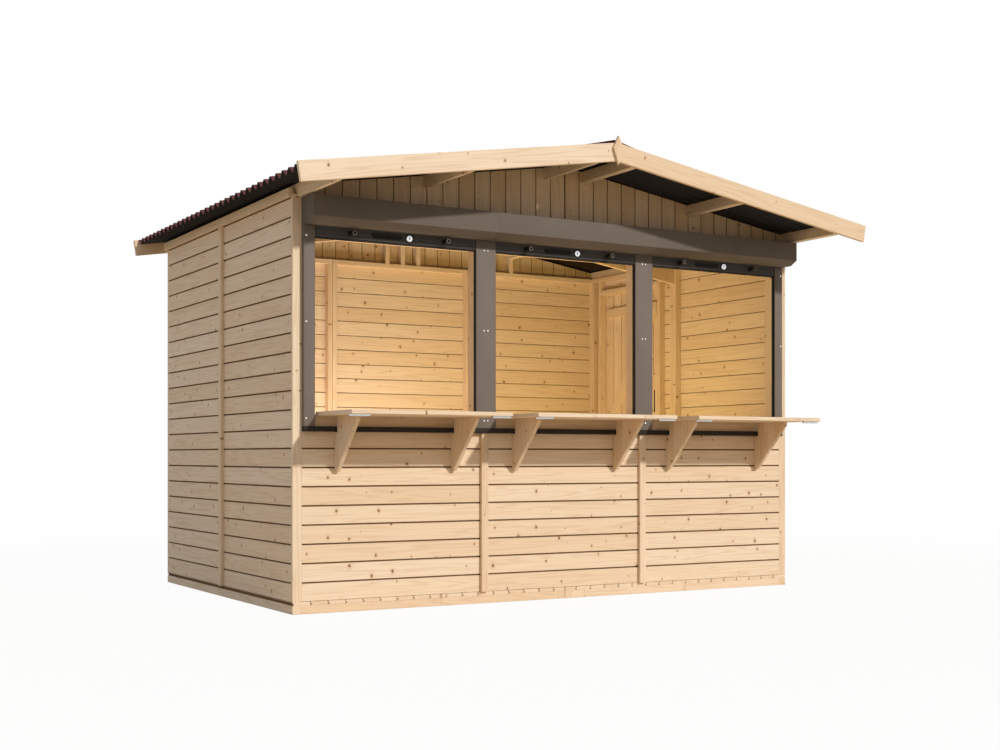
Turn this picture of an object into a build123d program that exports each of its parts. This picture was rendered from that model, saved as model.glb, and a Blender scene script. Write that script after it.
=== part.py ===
"""A panel-built wooden market stall: gable roof, three serving bays with rolled-up shutters, and a side door.

Millimetres. X runs along the front from left to right, the front faces -Y, Z is up, and the origin
lies at the centre of the underside of the base.
"""
import os
from math import cos, pi, radians, sin, tan

from build123d import *

# Base: bearers from front to back, rim boards between them, two floor panels
base_width = 3000
base_depth = 1940
bearer_width = 40
bearer_height = 40
floor_thickness = 18
panel_gap = 2

# Walls: boards outside, studs and rails inside
wall_height = 1890
cladding = 18
stud_depth = 42
stud_width = 28
rail_height = 28
corner_board_width = 46
cover_width = 38
cover_thickness = 18
eave_strip_height = 40
eave_strip_thickness = 20
eave_strip_drop = 15
bay_count = 3

# Front: low wall, sill rail, posts and header around the three serving openings
low_wall_height = 790
sill_rail_height = 83
header_height = 158
sill_height = 25
sill_reach = 30

# Roller shutters: guides, boxes, bottom bars and what is on the bars
guide_width = 55
guide_depth = 26
guide_lip = 8
guide_slot = 12
box_reach = 145
box_height = 125
box_face_height = 99
box_chamfer = 48
box_top_gap = 18
box_end_gap = 1
bar_height = 58
bar_depth = 20
bar_gap = 2
stop_diameter = 24
stop_length = 50
stop_spread_share = 0.584
stop_rise = 32
pull_width = 160
pull_height = 24
pull_depth = 5
pull_wall = 4
disc_diameter = 32
disc_thickness = 4
disc_spread = 60
pull_rise = 35

# Counters on triangular brackets
counter_side_gap = 13.5
counter_depth = 407
counter_thickness = 19
counter_top_rise = 10
bracket_spread_share = 0.747
bracket_depth = 250
bracket_height = 261
bracket_thickness = 20
bracket_toe = 22
bracket_nose = 20
notch_clearance = 1
bolt_length = 86
bolt_plate_width = 22
bolt_plate_thickness = 3
bolt_diameter = 14
bolt_inset = 14

# Roof: purlins square to the slope, corrugated sheets, barge boards
roof_slope = 9.1
front_overhang = 468
rear_overhang = 140
barge_width = 90
barge_thickness = 19
barge_rise = 32
barge_end = 26
purlin_width = 28
purlin_depth = 60
ridge_purlin_place = 120
middle_purlin_share = 0.55
eave_purlin_inset = 26
eave_notch = 14
eave_overhang = 132
sheet_pitch = 76
sheet_height = 29
steps_per_wave = 8
sheet_thickness = 2.6
sheet_ridge_gap = 4
sheet_seat = 0.3
cap_flange = 172
cap_thickness = 3
cap_rise = 14
apex_half_width = 30
apex_top = 62
apex_bottom = 84
apex_corner_drop = 30
apex_thickness = 14
gable_clearance = 0.5
gable_rail_height = 8
gable_rail_depth = 20

# Middle rafters and collar board
rafter_depth = 120
rafter_thickness = 28
collar_height = 82
collar_bottom_rise = 1850

# Door in the back half of the right wall
door_front_strip = 164
door_back_strip = 152
door_head_drop = 118
door_gap = 6
door_floor_gap = 10
stop_strip_reach = 10
stop_strip_thickness = 16
stop_strip_gap = 1
ledge_width = 60
ledge_thickness = 20
ledge_inset = 32
ledge_end_rise = 94
brace_width = 80
lock_width = 44
lock_height = 284
lock_thickness = 30
lock_inset = 8
hinge_end_rise = 235
strap_length = 330
strap_height = 40
strap_tip_height = 22
strap_thickness = 3
knuckle_radius = 7
knuckle_stand = 1.5
pin_radius = 3.5
pin_clearance = 0.3
knuckle_gap = 0.6
plate_knuckle = 20
plate_reach = 60
plate_clearance = 2

# Places worked out from the sizes
half_width = base_width / 2
half_depth = base_depth / 2
half_gap = panel_gap / 2
floor_top = bearer_height + floor_thickness
wall_top = floor_top + wall_height
frame_face = half_width - cladding
room_face = frame_face - stud_depth
frame_line = half_depth - cladding
room_line = frame_line - stud_depth
corner_edge = half_width - corner_board_width
bay_pitch = 2 * corner_edge / bay_count
bay_joint = bay_pitch / 2
bay_centres = (-bay_pitch, 0, bay_pitch)
low_wall_top = floor_top + low_wall_height
sill_rail_top = low_wall_top + sill_rail_height
header_bottom = wall_top - header_height
front_face = -half_depth
box_top = wall_top - box_top_gap
box_bottom = box_top - box_height
bar_bottom = box_bottom - bar_height
counter_top = sill_rail_top + counter_top_rise
counter_bottom = counter_top - counter_thickness
eave_strip_bottom = wall_top - eave_strip_drop
eave_strip_top = eave_strip_bottom + eave_strip_height
slope_sin = sin(radians(roof_slope))
slope_cos = cos(radians(roof_slope))
slope_tan = tan(radians(roof_slope))
eave_purlin_edge = (half_width - eave_purlin_inset + purlin_depth * slope_sin) / slope_cos
eave_purlin_place = eave_purlin_edge - purlin_width / 2
middle_purlin_place = eave_purlin_place * middle_purlin_share
sheet_reach = (half_width + eave_overhang) / slope_cos
barge_reach = sheet_reach + barge_end
eave_seat = eave_purlin_edge * slope_sin + purlin_depth * slope_cos
ridge_top = wall_top - eave_notch + eave_seat
roof_front = -half_depth - front_overhang
roof_back = half_depth + rear_overhang
sheet_front = roof_front + barge_thickness
sheet_back = roof_back - barge_thickness
door_front = half_gap + door_front_strip
door_back = frame_line - door_back_strip
door_head = wall_top - door_head_drop
overrun = base_width
half_share = 0.5
sides = (-1, 1)
side_names = ("left", "right")


def save(builder, label):
    """Name a finished piece and write its file."""
    builder.part.label = label
    export_step(builder.part, f"parts/{label}.step")


def board(low, high, mode=Mode.ADD):
    """Add a straight board between two opposite corners to the open part."""
    sizes = [abs(b - a) for a, b in zip(low, high)]
    middle = [(a + b) / 2 for a, b in zip(low, high)]
    with Locations(tuple(middle)):
        Box(*sizes, mode=mode)


def outline(*points, mode=Mode.ADD):
    """Fill a closed outline of straight edges in the open sketch."""
    with BuildLine() as edge:
        Polyline(*points, close=True)
    make_face(edge.edges(), mode=mode)


def section(y):
    """The plane across the stall at y; its sketch axes are X and Z, and it extrudes towards the front."""
    return Plane.XZ.offset(-y)


def roof_point(side, along, up):
    """A point of the roof's section: along the slope from the ridge, and up from the sheets' underside."""
    return (side * (along * slope_cos + up * slope_sin), ridge_top - along * slope_sin + up * slope_cos)


def purlin_corners(side, place):
    """The four corners of a purlin that lies square to the slope under the sheets."""
    low = place - purlin_width / 2
    high = place + purlin_width / 2
    corners = ((low, -purlin_depth), (high, -purlin_depth), (high, 0), (low, 0))
    return [roof_point(side, along, up) for along, up in corners]


os.makedirs("parts", exist_ok=True)

# Base
inner_bearer = half_gap + bearer_width
rim_start = half_width - bearer_width
middle_bearer = (rim_start + inner_bearer) / 2
with BuildPart() as base_bearers:
    for side in sides:
        for start in (half_gap, rim_start):
            board((side * start, -half_depth, 0), (side * (start + bearer_width), half_depth, bearer_height))
        low = (side * middle_bearer - bearer_width / 2, -half_depth + bearer_width, 0)
        high = (side * middle_bearer + bearer_width / 2, half_depth - bearer_width, bearer_height)
        board(low, high)
save(base_bearers, "base_bearers")

with BuildPart() as base_rims:
    for side in sides:
        for start in (-half_depth, half_depth - bearer_width):
            board((side * inner_bearer, start, 0), (side * rim_start, start + bearer_width, bearer_height))
save(base_rims, "base_rims")

with BuildPart() as floor_panels:
    for side in sides:
        board((side * half_gap, -half_depth, bearer_height), (side * half_width, half_depth, floor_top))
save(floor_panels, "floor_panels")

# Side walls: boards of the two panels, with the doorway left open in the right one
panel_lines = ((-frame_line, -half_gap), (half_gap, frame_line))
with BuildPart() as left_wall:
    for start, end in panel_lines:
        board((-half_width, start, floor_top), (-frame_face, end, eave_strip_top))
save(left_wall, "left_wall")

with BuildPart() as right_wall_front:
    board((frame_face, -frame_line, floor_top), (half_width, -half_gap, eave_strip_top))
save(right_wall_front, "right_wall_front")

with BuildPart() as right_wall_beside_door:
    board((frame_face, half_gap, floor_top), (half_width, door_front, door_head))
    board((frame_face, door_back, floor_top), (half_width, frame_line, door_head))
save(right_wall_beside_door, "right_wall_beside_door")

with BuildPart() as right_wall_over_door:
    board((frame_face, half_gap, door_head), (half_width, frame_line, eave_strip_top))
save(right_wall_over_door, "right_wall_over_door")

# Back wall and the low wall under the serving bays: three panels each, joined at the same places
panel_spans = (
    (-corner_edge, -bay_joint - half_gap),
    (-bay_joint + half_gap, bay_joint - half_gap),
    (bay_joint + half_gap, corner_edge),
)
with BuildPart() as back_wall:
    for start, end in panel_spans:
        board((start, frame_line, floor_top), (end, half_depth, wall_top))
save(back_wall, "back_wall")

with BuildPart() as front_wall:
    for start, end in panel_spans:
        board((start, front_face, floor_top), (end, -frame_line, low_wall_top))
save(front_wall, "front_wall")

# Frames behind the boards: studs stand on the bottom rails, under the top rails or the sill rail
stud_bottom = floor_top + rail_height
stud_top = wall_top - rail_height
side_studs = (-room_line, -half_gap - stud_width, half_gap, room_line - stud_width)
door_studs = (door_front - stud_width, door_back)
joint_studs = [side * bay_joint + offset for side in sides for offset in (-half_gap - stud_width, half_gap)]
with BuildPart() as wall_studs:
    for side, starts in ((-1, side_studs), (1, side_studs + door_studs)):
        for start in starts:
            low = (side * room_face, start, stud_bottom)
            board(low, (side * frame_face, start + stud_width, stud_top))
    for start in joint_studs:
        board((start, room_line, stud_bottom), (start + stud_width, frame_line, stud_top))
        board((start, -frame_line, stud_bottom), (start + stud_width, -room_line, low_wall_top))
save(wall_studs, "wall_studs")

rail_levels = ((floor_top, stud_bottom), (stud_top, wall_top))
with BuildPart() as side_wall_rails:
    for low, high in rail_levels:
        for start, end in ((-room_line, -half_gap), (half_gap, room_line)):
            for side in sides:
                board((side * room_face, start, low), (side * frame_face, end, high))
    board((room_face, door_front, floor_top), (frame_face, door_back, stud_bottom), mode=Mode.SUBTRACT)
    board((room_face, door_front, door_head), (frame_face, door_back, door_head + rail_height))
save(side_wall_rails, "side_wall_rails")

with BuildPart() as end_wall_rails:
    for start, end in panel_spans:
        for low, high in rail_levels:
            board((start, room_line, low), (end, frame_line, high))
        board((start, -frame_line, floor_top), (end, -room_line, stud_bottom))
save(end_wall_rails, "end_wall_rails")

# Corners: a board flush with the front or back, and a post behind it
with BuildPart() as corner_boards:
    for side in sides:
        for end in sides:
            low = (side * corner_edge, end * half_depth, floor_top)
            board(low, (side * half_width, end * frame_line, wall_top))
save(corner_boards, "corner_boards")

with BuildPart() as corner_posts:
    for side in sides:
        for end in sides:
            low = (side * corner_edge, end * frame_line, floor_top)
            board(low, (side * frame_face, end * room_line, wall_top))
save(corner_posts, "corner_posts")

with BuildPart() as eave_strips:
    for side in sides:
        low = (side * half_width, -half_depth, eave_strip_bottom)
        board(low, (side * (half_width + eave_strip_thickness), half_depth, eave_strip_top))
save(eave_strips, "eave_strips")

# Front: sill rail, posts and header frame the serving openings
with BuildPart() as front_sill_rail:
    board((-corner_edge, front_face, low_wall_top), (corner_edge, -room_line, sill_rail_top))
save(front_sill_rail, "front_sill_rail")

with BuildPart() as front_header:
    board((-corner_edge, front_face, header_bottom), (corner_edge, -room_line, wall_top))
save(front_header, "front_header")

guide_starts = [
    -corner_edge,
    -bay_joint - half_gap - guide_width,
    -bay_joint + half_gap,
    bay_joint - half_gap - guide_width,
    bay_joint + half_gap,
    corner_edge - guide_width,
]
with BuildPart() as front_posts:
    for start in guide_starts:
        board((start, front_face, sill_rail_top), (start + guide_width, -room_line, header_bottom))
save(front_posts, "front_posts")

# Cover strips over the joints between panels
half_cover = cover_width / 2
with BuildPart() as cover_strips:
    for side in sides:
        start = side * bay_joint - half_cover
        low = (start, front_face - cover_thickness, floor_top)
        board(low, (start + cover_width, front_face, low_wall_top))
        board((start, half_depth, floor_top), (start + cover_width, half_depth + cover_thickness, wall_top))
        high = (side * (half_width + cover_thickness), half_cover, eave_strip_bottom)
        board((side * half_width, -half_cover, floor_top), high)
save(cover_strips, "cover_strips")

# Gables: boards notched round the purlins, a low rail, and battens that stand over it under the purlins
purlin_places = (ridge_purlin_place, middle_purlin_place, eave_purlin_place)
gable_peak = ridge_top - gable_clearance / slope_cos
gable_edge = roof_point(1, eave_purlin_place, -purlin_depth / 2)[0]
gable_end = gable_peak - gable_edge * slope_tan
with BuildPart() as gables:
    for inner in (-frame_line, half_depth):
        with BuildSketch(section(inner)):
            outline(
                (-gable_edge, wall_top),
                (gable_edge, wall_top),
                (gable_edge, gable_end),
                (0, gable_peak),
                (-gable_edge, gable_end),
            )
            for place in purlin_places:
                for side in sides:
                    outline(*purlin_corners(side, place), mode=Mode.SUBTRACT)
        extrude(amount=cladding)
save(gables, "gables")

gable_rail_top = wall_top + gable_rail_height
gable_rail_end = purlin_corners(1, eave_purlin_place)[0][0]
gable_lines = ((-frame_line, -room_line), (room_line, frame_line))
gable_rail_lines = ((-frame_line, gable_rail_depth - frame_line), (frame_line - gable_rail_depth, frame_line))
with BuildPart() as gable_rails:
    for start, end in gable_rail_lines:
        board((-gable_rail_end, start, wall_top), (gable_rail_end, end, gable_rail_top))
save(gable_rails, "gable_rails")

with BuildPart() as gable_battens:
    for start, end in gable_lines:
        half = stud_width / 2
        shoulder = gable_peak - half * slope_tan
        with BuildSketch(section(end)):
            outline(
                (-half, wall_top),
                (half, wall_top),
                (half, shoulder),
                (0, gable_peak),
                (-half, shoulder),
            )
            for place in purlin_places[:2]:
                for side in sides:
                    near, far = purlin_corners(side, place)[:2]
                    outline((near[0], wall_top), near, far, (far[0], wall_top))
        extrude(amount=end - start)
    for start, end in gable_rail_lines:
        low = (-gable_rail_end, start, wall_top)
        board(low, (gable_rail_end, end, gable_rail_top), mode=Mode.SUBTRACT)
save(gable_battens, "gable_battens")

# Roof timbers: purlins from barge to barge, the eave ones notched over the walls; rafters with a collar board
with BuildPart() as purlins:
    with BuildSketch(section(sheet_back)):
        for place in purlin_places:
            for side in sides:
                outline(*purlin_corners(side, place))
    extrude(amount=sheet_back - sheet_front)
    board((-overrun, -half_depth, 0), (overrun, half_depth, wall_top), mode=Mode.SUBTRACT)
save(purlins, "purlins")

rafter_back = rafter_thickness / 2
rafter_top = ridge_top - purlin_depth / slope_cos
rafter_drop = rafter_depth / slope_cos
rafter_foot = rafter_top - room_face * slope_tan
for name, side in zip(side_names, sides):
    with BuildPart() as rafter:
        with BuildSketch(section(rafter_back)):
            outline(
                (0, rafter_top),
                (0, rafter_top - rafter_drop),
                (side * room_face, rafter_foot - rafter_drop),
                (side * room_face, rafter_foot),
            )
        extrude(amount=rafter_thickness)
    save(rafter, f"middle_rafter_{name}")

collar_bottom = floor_top + collar_bottom_rise
collar_end = (rafter_top - rafter_drop - collar_bottom) / slope_tan
with BuildPart() as middle_collar:
    low = (-collar_end, -rafter_back - rafter_thickness, collar_bottom)
    board(low, (collar_end, -rafter_back, collar_bottom + collar_height))
save(middle_collar, "middle_collar")

# Roof covering: each sheet is one wave section, drawn out down the slope
sheet_width = sheet_back - sheet_front
wave_count = int(sheet_width // sheet_pitch)
step_count = wave_count * steps_per_wave


def wave_points(height):
    """The wave line at one height, from one end of the sheet to the other."""
    points = []
    for step in range(step_count + 1):
        swing = sheet_height / 2 * cos(2 * pi * step / steps_per_wave)
        points.append((sheet_width * (step / step_count - half_share), height + swing))
    return points


sheet_middle = (sheet_front + sheet_back) / 2
for name, side in zip(side_names, sides):
    start_x, start_z = roof_point(side, sheet_ridge_gap, 0)
    down_slope = (side * slope_cos, 0, -slope_sin)
    wave_plane = Plane(origin=(start_x, sheet_middle, start_z), x_dir=(0, side, 0), z_dir=down_slope)
    lower = sheet_height / 2 + sheet_seat
    with BuildPart() as sheet:
        with BuildSketch(wave_plane):
            outline(*wave_points(lower), *reversed(wave_points(lower + sheet_thickness)))
        extrude(amount=sheet_reach - sheet_ridge_gap)
    save(sheet, f"roof_sheet_{name}")

cap_foot_x, cap_foot_z = roof_point(1, cap_flange, sheet_height + sheet_thickness + 2 * sheet_seat)
cap_peak = cap_foot_z + cap_foot_x * slope_tan + cap_rise
with BuildPart() as ridge_cap:
    with BuildSketch(section(sheet_back)):
        outline(
            (-cap_foot_x, cap_foot_z),
            (0, cap_peak),
            (cap_foot_x, cap_foot_z),
            (cap_foot_x, cap_foot_z + cap_thickness),
            (0, cap_peak + cap_thickness),
            (-cap_foot_x, cap_foot_z + cap_thickness),
        )
    extrude(amount=sheet_width)
save(ridge_cap, "ridge_cap")

# Barge boards, cut square at the eaves and plumb at the ridge, and the plates that cover their joint
barge_high = barge_rise
barge_low = barge_high - barge_width
for name, side in zip(side_names, sides):
    with BuildPart() as barge_boards:
        for face in (sheet_front, roof_back):
            with BuildSketch(section(face)):
                outline(
                    (0, ridge_top + barge_low / slope_cos),
                    (0, ridge_top + barge_high / slope_cos),
                    roof_point(side, barge_reach, barge_high),
                    roof_point(side, barge_reach, barge_low),
                )
            extrude(amount=barge_thickness)
    save(barge_boards, f"barge_boards_{name}")

apex_corner = ridge_top + barge_high / slope_cos - apex_corner_drop
with BuildPart() as apex_plates:
    for face in (roof_front, roof_back + apex_thickness):
        with BuildSketch(section(face)):
            outline(
                (0, apex_corner - apex_bottom),
                (apex_half_width, apex_corner),
                (0, apex_corner + apex_top),
                (-apex_half_width, apex_corner),
            )
        extrude(amount=apex_thickness)
save(apex_plates, "apex_plates")

# Roller shutters: guides with slots for the curtains, boxes with a folded front, bars under the boxes
guide_face = front_face - guide_depth
guide_bottom = low_wall_top + sill_height
with BuildPart() as shutter_guides:
    for start in guide_starts:
        board((start, guide_face, guide_bottom), (start + guide_width, front_face, box_bottom))
    for side in sides:
        low = (side * bay_joint - half_gap, guide_face, guide_bottom)
        board(low, (side * bay_joint + half_gap, front_face, box_bottom))
    for index, start in enumerate(guide_starts):
        opens_right = index % 2 == 0
        slot_start = start + guide_width - guide_slot if opens_right else start
        low = (slot_start, guide_face + guide_lip, guide_bottom)
        high = (slot_start + guide_slot, front_face - guide_lip, box_bottom)
        board(low, high, mode=Mode.SUBTRACT)
save(shutter_guides, "shutter_guides")

with BuildPart() as sill_profile:
    board((-corner_edge, front_face - sill_reach, low_wall_top), (corner_edge, front_face, guide_bottom))
save(sill_profile, "sill_profile")

box_front = front_face - box_reach
with BuildPart() as shutter_boxes:
    for start, end in panel_spans:
        with BuildSketch(Plane.YZ.offset(start + box_end_gap)):
            outline(
                (front_face, box_bottom),
                (box_front + box_chamfer, box_bottom),
                (box_front, box_top - box_face_height),
                (box_front, box_top),
                (front_face, box_top),
            )
        extrude(amount=end - start - 2 * box_end_gap)
save(shutter_boxes, "shutter_boxes")

bar_back = front_face - guide_lip / 2
bar_front = bar_back - bar_depth
bar_half = bay_pitch / 2 - half_gap - guide_width - bar_gap
with BuildPart() as shutter_bars:
    for centre in bay_centres:
        board((centre - bar_half, bar_front, bar_bottom), (centre + bar_half, bar_back, box_bottom))
save(shutter_bars, "shutter_bars")

with BuildPart() as shutter_stops:
    for centre in bay_centres:
        for side in sides:
            spot = (centre + side * bar_half * stop_spread_share, bar_bottom + stop_rise)
            with BuildSketch(section(bar_front)):
                with Locations(spot):
                    Circle(stop_diameter / 2)
            extrude(amount=stop_length)
save(shutter_stops, "shutter_stops")

with BuildPart() as shutter_pulls:
    for centre in bay_centres:
        with BuildSketch(section(bar_front)):
            with Locations((centre - disc_spread, bar_bottom + pull_rise)):
                Ellipse(pull_width / 2, pull_height / 2)
                Ellipse(pull_width / 2 - pull_wall, pull_height / 2 - pull_wall, mode=Mode.SUBTRACT)
        extrude(amount=pull_depth)
save(shutter_pulls, "shutter_pulls")

with BuildPart() as shutter_locks:
    for centre in bay_centres:
        with BuildSketch(section(bar_front)):
            with Locations((centre + disc_spread, bar_bottom + pull_rise)):
                Circle(disc_diameter / 2)
        extrude(amount=disc_thickness)
save(shutter_locks, "shutter_locks")

# Counters: shelves against the sill rail, each on two brackets notched round the sill profile
counter_front = front_face - counter_depth
half_counter = bay_pitch / 2 - half_gap - guide_width - counter_side_gap
with BuildPart() as counters:
    for centre in bay_centres:
        low = (centre - half_counter, counter_front, counter_bottom)
        board(low, (centre + half_counter, front_face, counter_top))
save(counters, "counters")

bracket_foot = counter_bottom - bracket_height
sill_notch = front_face - sill_reach - notch_clearance
with BuildPart() as counter_brackets:
    for centre in bay_centres:
        for side in sides:
            start = centre + side * half_counter * bracket_spread_share - bracket_thickness / 2
            with BuildSketch(Plane.YZ.offset(start)):
                outline(
                    (front_face, bracket_foot),
                    (front_face - bracket_toe, bracket_foot),
                    (front_face - bracket_depth, counter_bottom - bracket_nose),
                    (front_face - bracket_depth, counter_bottom),
                    (sill_notch, counter_bottom),
                    (sill_notch, low_wall_top - notch_clearance),
                    (front_face, low_wall_top - notch_clearance),
                )
            extrude(amount=bracket_thickness)
save(counter_brackets, "counter_brackets")

with BuildPart() as counter_bolts:
    for centre in bay_centres:
        for side in sides:
            edge = centre + side * (half_counter - bolt_inset)
            start = edge - side * bolt_length
            plate_back = counter_front + bolt_inset + bolt_plate_width
            low = (start, counter_front + bolt_inset, counter_bottom - bolt_plate_thickness)
            board(low, (edge, plate_back, counter_bottom))
            bolt_line = (start, plate_back - bolt_plate_width / 2, counter_bottom - bolt_plate_thickness)
            with BuildSketch(Plane(origin=bolt_line, x_dir=(0, 1, 0), z_dir=(side, 0, 0))):
                Circle(bolt_diameter / 2)
            extrude(amount=bolt_length + bolt_inset)
    board((-overrun, counter_front, counter_bottom), (overrun, front_face, counter_top), mode=Mode.SUBTRACT)
save(counter_bolts, "counter_bolts")

# Door: boards, three ledges and two diagonal braces, hung outside on strap hinges
leaf_front = door_front + door_gap
leaf_back = door_back - door_gap
leaf_bottom = floor_top + door_floor_gap
leaf_top = door_head - door_gap
with BuildPart() as door_boards:
    board((frame_face, leaf_front, leaf_bottom), (half_width, leaf_back, leaf_top))
save(door_boards, "door_boards")

stop_face = frame_face - stop_strip_gap
stop_top = door_head - stop_strip_reach - stop_strip_gap
with BuildPart() as door_stops:
    for start in (door_front, door_back - stop_strip_reach):
        low = (stop_face - stop_strip_thickness, start, stud_bottom)
        board(low, (stop_face, start + stop_strip_reach, stop_top))
    low = (stop_face - stop_strip_thickness, door_front, door_head - stop_strip_reach)
    board(low, (stop_face, door_back, door_head))
save(door_stops, "door_stops")

ledge_face = frame_face - ledge_thickness
ledge_front = leaf_front + ledge_inset
ledge_back = leaf_back - ledge_inset
low_ledge = leaf_bottom + ledge_end_rise
high_ledge = leaf_top - ledge_end_rise - ledge_width
middle_ledge = (low_ledge + high_ledge) / 2
with BuildPart() as door_ledges:
    for bottom in (low_ledge, middle_ledge, high_ledge):
        board((ledge_face, ledge_front, bottom), (frame_face, ledge_back, bottom + ledge_width))
save(door_ledges, "door_ledges")

with BuildPart() as door_brace:
    with BuildSketch(Plane.YZ.offset(ledge_face)):
        for bottom, top in ((low_ledge, middle_ledge), (middle_ledge, high_ledge)):
            outline(
                (ledge_back, bottom + ledge_width),
                (ledge_back - brace_width, bottom + ledge_width),
                (ledge_front, top),
                (ledge_front + brace_width, top),
            )
    extrude(amount=ledge_thickness)
save(door_brace, "door_brace")

lock_front = leaf_front + lock_inset
lock_bottom = middle_ledge + ledge_width
with BuildPart() as door_lock:
    low = (frame_face - lock_thickness, lock_front, lock_bottom)
    board(low, (frame_face, lock_front + lock_width, lock_bottom + lock_height))
save(door_lock, "door_lock")

# Hinges: the strap and its knuckle on the leaf; the plate, its two knuckles and the pin on the wall
axis_x = half_width + knuckle_stand + knuckle_radius
axis_y = door_back - door_gap / 2
hinge_levels = (leaf_bottom + hinge_end_rise, leaf_top - hinge_end_rise)
with BuildPart() as door_hinges:
    for level in hinge_levels:
        with BuildSketch(Plane.YZ.offset(half_width)):
            outline(
                (axis_y, level - strap_height / 2),
                (axis_y, level + strap_height / 2),
                (axis_y - strap_length, level + strap_tip_height / 2),
                (axis_y - strap_length, level - strap_tip_height / 2),
            )
        extrude(amount=strap_thickness)
        with Locations((axis_x, axis_y, level)):
            Cylinder(knuckle_radius, strap_height)
            Cylinder(pin_radius + pin_clearance, strap_height, mode=Mode.SUBTRACT)
save(door_hinges, "door_hinges")

plate_start = axis_y + knuckle_radius + plate_clearance
with BuildPart() as hinge_plates:
    for level in hinge_levels:
        knuckle_bottom = level + strap_height / 2 + knuckle_gap
        plate_top = knuckle_bottom + plate_knuckle
        plate_bottom = 2 * level - plate_top
        high = (half_width + strap_thickness, axis_y + plate_reach, plate_top)
        board((half_width, plate_start, plate_bottom), high)
        for low in (knuckle_bottom, plate_bottom):
            board((half_width, axis_y, low), (half_width + strap_thickness, plate_start, low + plate_knuckle))
            with Locations((axis_x, axis_y, low + plate_knuckle / 2)):
                Cylinder(knuckle_radius, plate_knuckle)
        with Locations((axis_x, axis_y, level)):
            Cylinder(pin_radius, plate_top - plate_bottom)
save(hinge_plates, "hinge_plates")
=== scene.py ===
# %% [markdown]
# # A wooden market stall
# The solid model of the stall comes in as a fixed frame: every board, box and bracket already has its place.
# This lesson dresses that frame. Timber gets eased edges, grain and knots, the walls are laid board by board,
# the shutters get their folds and screws, and the roof gets its waves. Nothing is moved.

# %% Load the frame
import math
import random

import bmesh
import bpy
from mathutils import Matrix, Vector


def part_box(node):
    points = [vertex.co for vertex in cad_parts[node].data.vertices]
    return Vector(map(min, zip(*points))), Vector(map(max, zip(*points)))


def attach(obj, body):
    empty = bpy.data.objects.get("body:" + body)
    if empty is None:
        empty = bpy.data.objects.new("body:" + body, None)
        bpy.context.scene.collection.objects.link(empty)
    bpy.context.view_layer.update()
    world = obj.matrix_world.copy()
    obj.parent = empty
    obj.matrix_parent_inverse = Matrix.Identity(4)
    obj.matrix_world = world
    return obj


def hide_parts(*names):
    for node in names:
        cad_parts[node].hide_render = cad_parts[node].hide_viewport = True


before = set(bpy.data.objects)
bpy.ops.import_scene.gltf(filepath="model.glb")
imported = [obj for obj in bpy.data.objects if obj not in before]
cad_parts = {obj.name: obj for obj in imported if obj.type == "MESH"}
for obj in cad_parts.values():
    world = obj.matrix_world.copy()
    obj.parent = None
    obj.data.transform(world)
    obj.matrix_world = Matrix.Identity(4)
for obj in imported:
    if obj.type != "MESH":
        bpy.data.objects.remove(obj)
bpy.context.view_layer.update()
dice = random.Random(41)

# %% [markdown]
# ## The camera
# The uprights of the stall stay parallel in the photograph, so its camera was level and the picture was cut from
# the upper part of a larger image. Tilting a camera would make the uprights lean together. A level camera with a
# vertical shift keeps them straight.

# %% Camera
IMAGE_WIDTH, IMAGE_HEIGHT = 1000, 750
FOCAL_PIXELS = 1379.48
HORIZON_ROW = 456.41
EYE = (-3.8913, -6.9529, 0.7328)
HEADING = 0.5296
SENSOR_WIDTH = 36

lens = bpy.data.cameras.new("eye")
lens.sensor_width = SENSOR_WIDTH
lens.lens = FOCAL_PIXELS * SENSOR_WIDTH / IMAGE_WIDTH
lens.shift_y = (HORIZON_ROW - IMAGE_HEIGHT / 2) / IMAGE_WIDTH
camera = bpy.data.objects.new("eye", lens)
camera.location = EYE
camera.rotation_euler = (math.pi / 2, 0, -HEADING)
scene = bpy.context.scene
scene.collection.objects.link(camera)
scene.camera = camera
scene.view_settings.view_transform = "Standard"
print("lens", round(lens.lens, 2), "mm, shift", round(lens.shift_y, 4))

# %% [markdown]
# ## Writing finishes as sums
# A finish is a tree of nodes. Placing dozens of nodes by hand hides the idea, so a socket is wrapped in a small
# class: adding or multiplying two of them adds the Math node that does it.

# %% A socket that can be calculated with
class Tap:
    """One output socket of a recipe. Arithmetic on it adds Math nodes."""

    def __init__(self, recipe, socket):
        self.recipe = recipe
        self.socket = socket

    def other(self, name):
        return Tap(self.recipe, self.socket.node.outputs[name])

    def math(self, operation, left, right=0.0):
        return self.recipe.node("ShaderNodeMath", {"operation": operation}, {0: left, 1: right})

    def __add__(self, value):
        return self.math("ADD", self, value)

    def __radd__(self, value):
        return self.math("ADD", value, self)

    def __sub__(self, value):
        return self.math("SUBTRACT", self, value)

    def __rsub__(self, value):
        return self.math("SUBTRACT", value, self)

    def __mul__(self, value):
        return self.math("MULTIPLY", self, value)

    def __truediv__(self, value):
        return self.math("DIVIDE", self, value)

    def __pow__(self, value):
        return self.math("POWER", self, value)


print("a socket can:", [name for name in vars(Tap) if callable(getattr(Tap, name))])

# %% [markdown]
# Everything that isn't arithmetic comes from one method. Settings go first, because a setting such as the kind of
# a Mix node decides which sockets count, and then values or links go into the sockets.

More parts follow.
